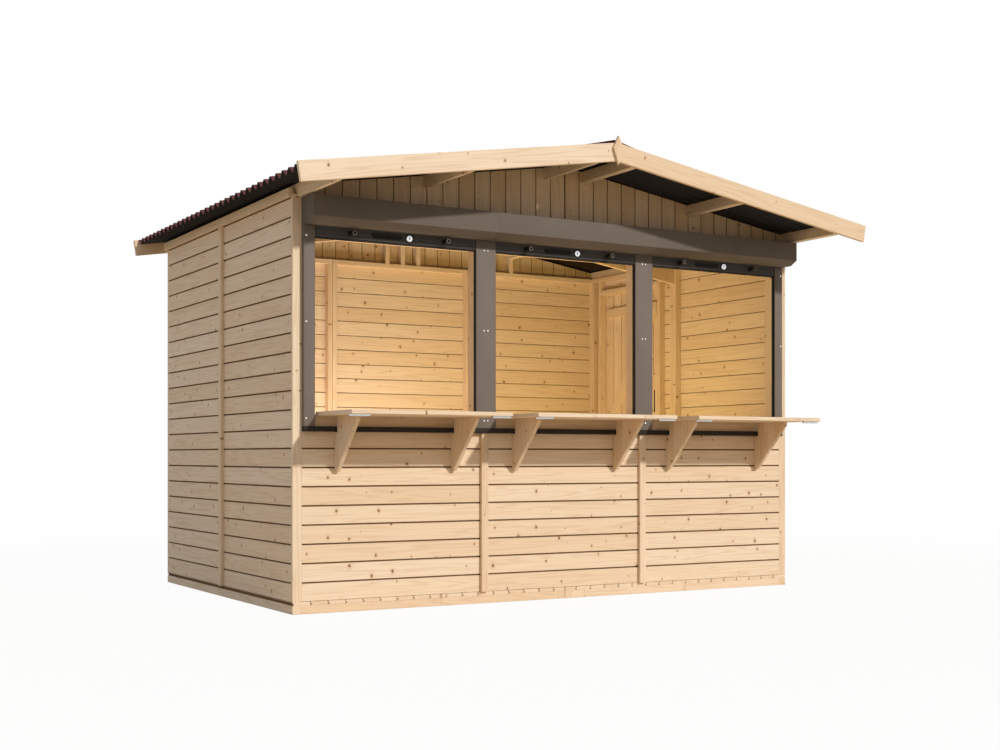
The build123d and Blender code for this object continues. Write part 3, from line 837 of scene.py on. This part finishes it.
def bar_section(height, depth):
    """The section of a bottom bar, up and out, with two grooves in its face."""
    section = [(BAR_FOOT + BAR_CORNER / 2, BAR_BACK), (height, BAR_BACK), (height, depth)]
    for level in GROOVE_LEVELS:
        middle, floor_level = height * level, depth - GROOVE_DEPTH
        section += [(middle + GROOVE_MOUTH, depth), (middle + GROOVE_FLOOR, floor_level),
                    (middle - GROOVE_FLOOR, floor_level), (middle - GROOVE_MOUTH, depth)]
    return section + [(BAR_FOOT + BAR_CORNER, depth), (BAR_FOOT, depth - BAR_CORNER),
                      (BAR_FOOT, BAR_BACK + BAR_CORNER)]


bars, seals = new_stack(), new_stack()
for low, high in boxes("shutter_bars"):
    place = facing(Vector((low.x, high.y, low.z)), AXES[0], AXES[2], -AXES[1])
    depth = high.y - low.y
    lay(bars, place, bar_section(high.z - low.z, depth), 0.0, high.x - low.x, BAR_END)
    strip = [(0.0, SEAL_FOOT[0]), (SEAL_TALL, SEAL_HEAD[0]), (SEAL_TALL, depth - SEAL_HEAD[1]),
             (0.0, depth - SEAL_FOOT[1])]
    lay(seals, place, strip, SEAL_INSET, high.x - low.x - SEAL_INSET, SEAL_END)
stand(bars, "shutter_bottom_bars", shaded_bar_grey, ["shutter_bars"])
stand(seals, "shutter_bar_seals", black_grey)

# %% [markdown]
# A guide is a channel with two lips. A brush strip in it holds the curtain, and thin black strips on the lips' sides
# paint the shade of the guide's sides. The outer guides have one channel and the middle ones two, back to back.

# %% Guide brushes
SLOT, LIP, BRUSH_BACK, BRUSH_PLAY, BRUSH_END = 0.012, 0.008, 0.003, 0.0004, 0.001
SIDE_SHADE_STRIP, SIDE_SHADE_SHORT = 0.0008, 0.0015
guides = sorted(boxes("shutter_guides"), key=lambda pair: pair[0].x)
brushes = new_stack()
for number, (low, high) in enumerate(guides):
    width, gap = SLOT - BRUSH_BACK, high.y - low.y - 2 * LIP
    strip = [(0, BRUSH_PLAY), (width, BRUSH_PLAY), (width, gap - BRUSH_PLAY), (0, gap - BRUSH_PLAY)]
    starts = [high.x - SLOT] if number == 0 else [low.x + BRUSH_BACK, high.x - SLOT]
    for start in starts[:1] if number == len(guides) - 1 else starts:
        place = facing(Vector((start, high.y - LIP, low.z)), AXES[2], AXES[0], -AXES[1])
        lay(brushes, place, strip, BRUSH_END, high.z - low.z - BRUSH_END, BRUSH_PLAY)
        side = high.x if start > (low.x + high.x) / 2 else low.x - SIDE_SHADE_STRIP
        # Black strips over the side of the guide beside each channel: painted shade.
        for front, back in ((low.y + SIDE_SHADE_SHORT, low.y + LIP), (high.y - LIP, high.y)):
            edge = [(0, 0), (SIDE_SHADE_STRIP, 0), (SIDE_SHADE_STRIP, back - front), (0, back - front)]
            lay(brushes, facing(Vector((side, front, low.z)), AXES[2], AXES[0], AXES[1]), edge, BRUSH_END,
                high.z - low.z - BRUSH_END, FINE_EASE)
stand(brushes, "guide_brushes_and_side_shade", black_rubber)

# %% [markdown]
# ## Turned parts
# Screws, stops and lock discs are round. A line of radius and height is turned about its axis, which keeps their
# rims and hollows.

# %% Turning
def turn(stack, place, line, turns=24):
    """Turn a line of (radius, height) points about the place's first axis; radius 0 closes an end."""
    rings = []
    for radius, height in line:
        angles = [2 * math.pi * i / turns for i in range(turns if radius else 1)]
        rings.append([stack.verts.new(place @ Vector((height, radius * math.cos(a), radius * math.sin(a))))
                      for a in angles])
    skin(stack, rings)


def forward(point):
    """A place on the front of the stall whose first axis points out of it."""
    return facing(Vector(point), -AXES[1], AXES[0], -AXES[2])


GUIDE_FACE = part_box("shutter_guides")[0].y
SCREW_LEVELS = (0.910, 1.358, 1.757)
SCREW_INSET, SCREW_APART, SCREW_TURNS = 0.012, 0.0105, 16
SCREW_LINE = [(0.0045, 0), (0.0045, 0.0006), (0.0036, 0.0018), (0.0018, 0.0023), (0.0016, 0.0012), (0, 0.0010)]
screw_lines = [guides[0][0].x + SCREW_INSET, guides[-1][1].x - SCREW_INSET]
for low, high in guides[1:-1]:
    middle = (low.x + high.x) / 2
    screw_lines += [middle - SCREW_APART, middle + SCREW_APART]
screws = new_stack()
for column in screw_lines:
    for level in SCREW_LEVELS:
        turn(screws, forward((column, GUIDE_FACE, level)), SCREW_LINE, SCREW_TURNS)
stand(screws, "guide_screws", bright_plate, smooth=ROUND)

# %% [markdown]
# Under each box two round stops point forward, black tubes with a grey rim. Between them the bar has its lock, a
# bright disc with an upright keyhole in a black surround, and a pull, an oval dish with a raised rim.

# %% Stops and lock discs
def middle_of(low, high):
    """The forward place in the middle of a box's back."""
    return forward(((low.x + high.x) / 2, high.y, (low.z + high.z) / 2))


DISC_LINE = [(0.016, 0), (0.016, 0.0026), (0.0148, 0.0038), (0.0125, 0.0040), (0.0075, 0.0034), (0, 0.0034)]
SURROUND_LINE = [(0.0225, 0), (0.0225, 0.0010), (0.0212, 0.0020), (0.0175, 0.0022), (0.0160, 0.0012)]
STOP_WALL, STOP_HOLLOW, STOP_SEAT, DISC_TURNS = 0.0055, 0.024, 0.0045, 32
RIM_DEEP, RIM_INSET, RIM_CORNER, RIM_INNER = 0.005, 0.0006, 0.0012, 0.0010
KEYHOLE_WIDE, KEYHOLE_TALL, KEYHOLE_STEPS, KEYHOLE_FROM, KEYHOLE_TO = 0.0024, 0.0078, 16, 0.0030, 0.0039
keyhole = [(KEYHOLE_WIDE * math.cos(a), KEYHOLE_TALL * math.sin(a))
           for a in (2 * math.pi * i / KEYHOLE_STEPS for i in range(KEYHOLE_STEPS))]
stops, rims, discs, surrounds, keyholes = (new_stack() for _ in range(5))
for low, high in boxes("shutter_stops"):
    radius, reach = (high.x - low.x) / 2, high.y - low.y
    hollow = radius - STOP_WALL
    place = middle_of(low, high)
    rim = radius - RIM_INSET
    turn(stops, place, [(radius, 0), (radius, reach - RIM_DEEP), (radius - RIM_CORNER, reach - STOP_SEAT),
                        (hollow, reach - STOP_SEAT), (hollow, reach - STOP_HOLLOW), (0, reach - STOP_HOLLOW)])
    turn(rims, place, [(rim, reach - RIM_DEEP), (rim, reach - RIM_CORNER), (rim - RIM_CORNER, reach),
                       (hollow + RIM_INNER, reach), (hollow, reach - RIM_INNER), (hollow, reach - RIM_DEEP)])
for low, high in boxes("shutter_locks"):
    place = middle_of(low, high)
    turn(discs, place, DISC_LINE, DISC_TURNS)
    turn(surrounds, place, SURROUND_LINE, DISC_TURNS)
    # The keyhole is a black oval set into the disc: painted shade of the hole.
    lay(keyholes, place, keyhole, KEYHOLE_FROM, KEYHOLE_TO, FINE_EASE)
stand(stops, "shutter_stop_rubbers", black_rubber, ["shutter_stops"], smooth=ROUND)
stand(rims, "shutter_stop_rims", coated_grey, smooth=ROUND)
stand(discs, "shutter_lock_discs", bright_plate, ["shutter_locks"], smooth=ROUND)
stand(surrounds, "shutter_lock_surrounds", black_rubber, smooth=ROUND)
stand(keyholes, "shutter_keyholes", black_rubber)

# %% [markdown]
# The pull's rim and dish are one loft: ovals that step in and up over the rim and then down to the dish's floor.

# %% Pulls
RIM_STEPS = ((0, 0), (0, 0.0038), (0.0012, 0.0050), (0.0034, 0.0050), (0.0048, 0.0040), (0.0056, 0.0010))


def oval(width, height, inset, steps=10):
    """A level outline with round ends, drawn in by inset, as (level, up) points."""
    radius = height / 2 - inset
    shift = width / 2 - height / 2
    arc = [math.pi * i / steps - math.pi / 2 for i in range(steps + 1)]
    right = [(shift + radius * math.cos(a), radius * math.sin(a)) for a in arc]
    return right + [(-x, -y) for x, y in right]


pulls = new_stack()
for low, high in boxes("shutter_pulls"):
    place = middle_of(low, high)
    rows = []
    for inset, out in RIM_STEPS:
        rows.append([pulls.verts.new(place @ Vector((out, level, up)))
                     for level, up in oval(high.x - low.x, high.z - low.z, inset)])
    skin(pulls, rows)
    pulls.faces.new(rows[-1]).material_index = 1
stand(pulls, "shutter_pull_dishes", [black_grey, black_rubber], ["shutter_pulls"], smooth=ROUND)

# %% [markdown]
# ## Fittings
# Barrel bolts under the shelves' front corners and the door's strap hinges are zinc-plated steel. The solids carry
# the plates and the bolts. Straps hold each bolt on its plate, as bands bent over the rod.

# %% Bolts and hinges
folded("counter_bolts", zinc_plate, 0.0005, segments=1)
folded("door_hinges", zinc_plate, 0.0006, body="door", segments=1)
folded("hinge_plates", zinc_plate, 0.0006, segments=1)
STRAP_WIDTH, STRAP_THICK, STRAP_FOOT, STRAP_STEPS, STRAP_PLACES = 0.007, 0.0012, 0.0045, 8, (0.22, 0.62)
BOLT_RADIUS, BOLT_PLATE, BOLT_PLAY = 0.007, 0.003, 0.0002
inside = BOLT_RADIUS + BOLT_PLAY
knee = inside + STRAP_THICK
toe = knee + STRAP_FOOT
angles = [math.pi * i / STRAP_STEPS for i in range(1, STRAP_STEPS)]
band = [(toe, 0), (toe, STRAP_THICK), (knee, STRAP_THICK)]
band += [(knee * math.cos(a), knee * math.sin(a)) for a in angles]
band += [(-knee, STRAP_THICK), (-toe, STRAP_THICK), (-toe, 0), (-inside, 0)]
band += [(inside * math.cos(a), inside * math.sin(a)) for a in reversed(angles)] + [(inside, 0)]
straps = new_stack()
for low, high in boxes("counter_bolts"):
    rod_y = (low.y + high.y) / 2
    for share in STRAP_PLACES:
        start = low.x + (high.x - low.x) * share
        place = facing(Vector((start, rod_y, high.z - BOLT_PLATE)), AXES[0], AXES[1], -AXES[2])
        lay(straps, place, band, 0.0, STRAP_WIDTH, FINE_EASE)
stand(straps, "bolt_straps", zinc_plate)

# %% [markdown]
# Round screw heads hold the hinges: four along each strap on the leaf, which move with the door, and three up each
# plate on the wall.

# %% Hinge screws
heads, plate_heads = new_stack(), new_stack()
STRAP_SCREWS, PLATE_SCREWS = (0.08, 0.36, 0.64, 0.86), (0.2, 0.5, 0.8)
HINGE_PLATE, PLATE_INSET = 0.003, 0.014
HEAD_LINE = [(0.005, 0), (0.0048, 0.0008), (0.0034, 0.0016), (0.0012, 0.0019), (0.0010, 0.0011), (0, 0.0011)]
for low, high in boxes("door_hinges"):
    for share in STRAP_SCREWS:
        spot = Vector((low.x + HINGE_PLATE, low.y + (high.y - low.y) * share, (low.z + high.z) / 2))
        turn(heads, facing(spot, *AXES), HEAD_LINE, SCREW_TURNS)
for low, high in boxes("hinge_plates"):
    for share in PLATE_SCREWS:
        spot = Vector((low.x + HINGE_PLATE, high.y - PLATE_INSET, low.z + (high.z - low.z) * share))
        turn(plate_heads, facing(spot, *AXES), HEAD_LINE, SCREW_TURNS)
stand(heads, "strap_screws", zinc_plate, body="door", smooth=ROUND)
stand(plate_heads, "plate_screws", zinc_plate, smooth=ROUND)

# %% [markdown]
# The lock sits on the inside of the leaf under a tall wooden case, with a dark slot down its lower half: a black
# strip set into the case, painted shade of the opening.

# %% Lock case
SLOT_INSET, SLOT_RISE, SLOT_WIDTH, SLOT_LENGTH, SLOT_SUNK, SLOT_PROUD = 0.022, 0.04, 0.012, 0.145, 0.002, 0.0004
timbers("door_lock", planed_pine, AXES[2], body="door", ease=WIDE_EASE)
lock_slot = new_stack()
place = facing(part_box("door_lock")[0] + Vector((0, SLOT_INSET, SLOT_RISE)), AXES[2], AXES[1], -AXES[0])
strip = [(0, -SLOT_SUNK), (SLOT_WIDTH, -SLOT_SUNK), (SLOT_WIDTH, SLOT_PROUD), (0, SLOT_PROUD)]
lay(lock_slot, place, strip, 0.0, SLOT_LENGTH, FINE_EASE)
stand(lock_slot, "door_lock_slot", black_rubber, body="door")

# %% [markdown]
# ## Roof covering
# The sheets are pressed from bitumen fibre: a deep wave, dark red paint on top with the fibre's grit showing, and
# bare black below. The solid has few steps to a wave, so a finer sheet replaces it: a grid whose height follows a
# cosine across the slope, with a thickness and two finishes.

# %% Bitumen finishes
WASH_SCALE = (1.2, 9, 3)


def bitumen(name, deep, worn, grit_size):
    """A rough finish whose grit and long washes mix a deep and a worn colour."""
    mix = Recipe(bpy.data.materials.new(name))
    spot = mix.node("ShaderNodeTexCoord", out="Object")
    grit = mix.noise(spot, (grit_size, grit_size, grit_size), 3.0, 0.65)
    wash = mix.noise(spot, WASH_SCALE, 3.0)
    colour = mix.blend(grit * 0.7 + wash * 0.8 - 0.3, deep, worn)
    return mix.surface({"Base Color": colour, "Roughness": grit * 0.2 + 0.68,
                        "Normal": mix.bump(grit + wash * 0.3, 0.35, 0.001), "Specular IOR Level": 0.25})


red_bitumen = bitumen("red bitumen sheet", (0.085, 0.022, 0.022, 1), (0.165, 0.050, 0.048, 1), 420.0)
black_bitumen = bitumen("black bitumen underside", (0.010, 0.007, 0.005, 1), (0.024, 0.016, 0.011, 1), 420.0)
red_ridge = bitumen("red ridge cap", (0.125, 0.022, 0.020, 1), (0.215, 0.050, 0.045, 1), 520.0)

# %% [markdown]
# One helper turns places along the roof's slope into the frame. A sheet's two skins are closed at their four edges.

# %% Waves
WAVES, WAVE_HEIGHT, SHEET_THICK, SHEET_SEAT = 33, 0.029, 0.0026, 0.0003
STEPS_PER_WAVE, WAVE_ROUND = 16, 50
RIDGE_GAP, GABLE_PLAY = 0.004, 0.0005
RIDGE_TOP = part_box("gables")[1].z + GABLE_PLAY / SLOPE_COS


def roof_point(sign, along, up, y):
    """A point of the roof: down the slope from the ridge, up from the underside of the sheets, and back."""
    return Vector((sign * (along * SLOPE_COS + up * SLOPE_SIN), y, RIDGE_TOP - along * SLOPE_SIN + up * SLOPE_COS))


for side, sign in SIDES:
    node = "roof_sheet_" + side
    low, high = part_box(node)
    crest_shift = (WAVE_HEIGHT + SHEET_THICK) * SLOPE_SIN
    reach = (max(abs(low.x), abs(high.x)) - crest_shift) / SLOPE_COS
    stack = new_stack()
    count = WAVES * STEPS_PER_WAVE
    rows = []
    for thick in (0.0, SHEET_THICK):
        for along in (RIDGE_GAP, reach):
            row = []
            for step in range(count + 1):
                swing = math.cos(2 * math.pi * step / STEPS_PER_WAVE)
                up = SHEET_SEAT + WAVE_HEIGHT / 2 * (1 + swing) + thick
                back = low.y + (high.y - low.y) * step / count
                row.append(stack.verts.new(roof_point(sign, along, up, back)))
            rows.append(row)
    under_ridge, under_eave, top_ridge, top_eave = rows
    for i in range(count):
        stack.faces.new((top_ridge[i], top_ridge[i + 1], top_eave[i + 1], top_eave[i]))
        for a, b in ((under_eave, under_ridge), (top_eave, under_eave), (under_ridge, top_ridge)):
            stack.faces.new((a[i], a[i + 1], b[i + 1], b[i])).material_index = 1
    for i in (0, count):
        stack.faces.new((under_ridge[i], under_eave[i], top_eave[i], top_ridge[i])).material_index = 1
    stand(stack, node + "_waves", [red_bitumen, black_bitumen], [node], smooth=WAVE_ROUND)

# %% [markdown]
# The ridge is covered by a folded strip of the same stuff, and the sheets are held by capped nails in the crests of
# the waves along each purlin.

# %% Ridge cap and nails
folded("ridge_cap", red_ridge, 0.0008, segments=1)
CAP_LINE = [(0.010, -0.003), (0.010, 0.0015), (0.0085, 0.0042), (0.005, 0.0058), (0, 0.0062)]
NAIL_PLACES, NAIL_TURNS = (0.215, 0.819, 1.488), 12
sheet_low, sheet_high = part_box("roof_sheet_left")
pitch = (sheet_high.y - sheet_low.y) / WAVES
nails = new_stack()
for side, sign in SIDES:
    upward = Vector((sign * SLOPE_SIN, 0, SLOPE_COS))
    for along in NAIL_PLACES:
        for wave in range(1, WAVES, 2):
            spot = roof_point(sign, along, SHEET_SEAT + WAVE_HEIGHT + SHEET_THICK, sheet_low.y + wave * pitch)
            turn(nails, facing(spot, upward, AXES[1], upward.cross(AXES[1])), CAP_LINE, NAIL_TURNS)
stand(nails, "roof_nail_caps", red_ridge, smooth=ROUND)

# %% [markdown]
# ## Close
# Dressing mustn't make it larger.
